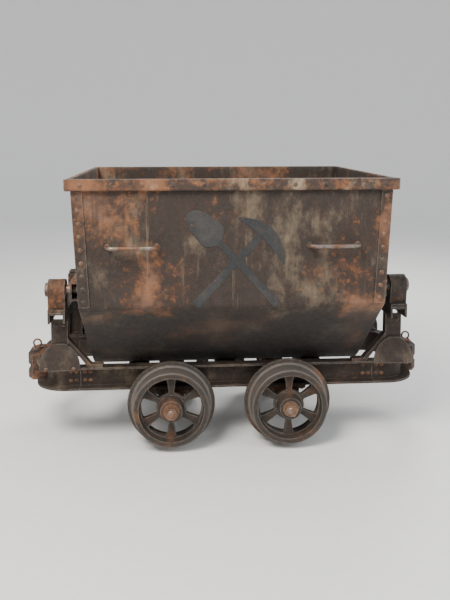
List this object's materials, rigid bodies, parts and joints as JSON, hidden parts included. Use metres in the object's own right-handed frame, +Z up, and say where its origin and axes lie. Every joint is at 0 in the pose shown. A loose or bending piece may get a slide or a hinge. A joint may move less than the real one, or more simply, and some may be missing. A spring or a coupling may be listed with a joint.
{
  "type": "side-tipping mine cart",
  "caption": "Narrow-gauge mine cart: rounded-bottom steel tub hinged on end stands, channel frame, spoked flanged wheels, latches and buffers.",
  "frame": {"origin": "on the ground under the middle of the cart, at the height of the lowest points of the wheel flanges", "axes": "+X along the track to the right, +Y across the track away from the tipping side, +Z up"},
  "size_m": [1.79, 1.092, 1.164],
  "materials": {
    "tub_plate": "rusted steel plate, remains of dark paint",
    "rim_bar": "rusted bar, worn on top",
    "frame_steel": "dark rusted rolled section",
    "tub_fitting": "dark rusted steel",
    "cast_wheel": "dark rusted casting, tread worn",
    "casting": "dark rusted casting",
    "bearing_bronze": "oily bronze",
    "worn_bar": "handled steel bar",
    "fastener": "rusted fastener",
    "latch_steel": "rusted flat bar"
  },
  "bodies": {
    "chassis": {"axle_box_front_left": "casting", "axle_box_front_right": "casting", "axle_box_keepers": "casting", "axle_box_rear_left": "casting", "axle_box_rear_right": "casting", "axle_bushes": "bearing_bronze", "buffer_left": "casting", "buffer_right": "casting", "cross_member_centre": "frame_steel", "cross_member_left": "frame_steel", "cross_member_right": "frame_steel", "end_bow_left": "frame_steel", "end_bow_right": "frame_steel", "frame_bolts": "fastener", "frame_rivets": "fastener", "hinge_bearing_left": "casting", "hinge_bearing_right": "casting", "hinge_bushes": "bearing_bronze", "latch_bolts": "fastener", "rest_pad_left": "casting", "rest_pad_right": "casting", "sill_front": "frame_steel", "sill_rear": "frame_steel", "splice_plates": "frame_steel", "stand_base_plates": "frame_steel", "stand_braces_left": "frame_steel", "stand_braces_right": "frame_steel", "stand_head_left": "frame_steel", "stand_head_right": "frame_steel", "stand_post_front_left": "frame_steel", "stand_post_front_right": "frame_steel", "stand_post_rear_left": "frame_steel", "stand_post_rear_right": "frame_steel"},
    "wheelset_left": {"axle_left": "worn_bar", "hub_nuts_left": "fastener", "wheel_front_left": "cast_wheel", "wheel_rear_left": "cast_wheel"},
    "wheelset_right": {"axle_right": "worn_bar", "hub_nuts_right": "fastener", "wheel_front_right": "cast_wheel", "wheel_rear_right": "cast_wheel"},
    "tub": {"corner_straps": "tub_fitting", "grab_handles": "worn_bar", "rest_feet": "tub_fitting", "rim_front": "rim_bar", "rim_left": "rim_bar", "rim_rear": "rim_bar", "rim_right": "rim_bar", "trunnion_pin_left": "worn_bar", "trunnion_pin_right": "worn_bar", "tub_end_beam_left": "tub_fitting", "tub_end_beam_right": "tub_fitting", "tub_end_left": "tub_plate", "tub_end_right": "tub_plate", "tub_rivets": "fastener", "tub_trough": "tub_plate"},
    "latch_left": {"latch_left": "latch_steel"},
    "latch_right": {"latch_right": "latch_steel"},
    "coupling_pin_left": {"coupling_pin_left": "worn_bar"},
    "coupling_pin_right": {"coupling_pin_right": "worn_bar"}
  },
  "joints": [
    {"name": "tub_tip", "type": "hinge", "parent": "chassis", "child": "tub", "pos_m": [0, -0.28, 0.69], "axis": [1, 0, 0], "range_deg": [0, 120]},
    {"name": "wheelset_left_spin", "type": "hinge", "parent": "chassis", "child": "wheelset_left", "pos_m": [-0.25, 0, 0.187], "axis": [0, 1, 0], "continuous": true},
    {"name": "wheelset_right_spin", "type": "hinge", "parent": "chassis", "child": "wheelset_right", "pos_m": [0.25, 0, 0.187], "axis": [0, 1, 0], "continuous": true},
    {"name": "latch_left_swing", "type": "hinge", "parent": "chassis", "child": "latch_left", "pos_m": [-0.72, 0.352, 0.622], "axis": [1, 0, 0], "range_deg": [0, 28]},
    {"name": "latch_right_swing", "type": "hinge", "parent": "chassis", "child": "latch_right", "pos_m": [0.72, 0.352, 0.622], "axis": [1, 0, 0], "range_deg": [0, 28]},
    {"name": "coupling_pin_left_lift", "type": "slide", "parent": "chassis", "child": "coupling_pin_left", "axis": [0, 0, 1], "range_m": [0, 0.12]},
    {"name": "coupling_pin_right_lift", "type": "slide", "parent": "chassis", "child": "coupling_pin_right", "axis": [0, 0, 1], "range_m": [0, 0.12]}
  ]
}
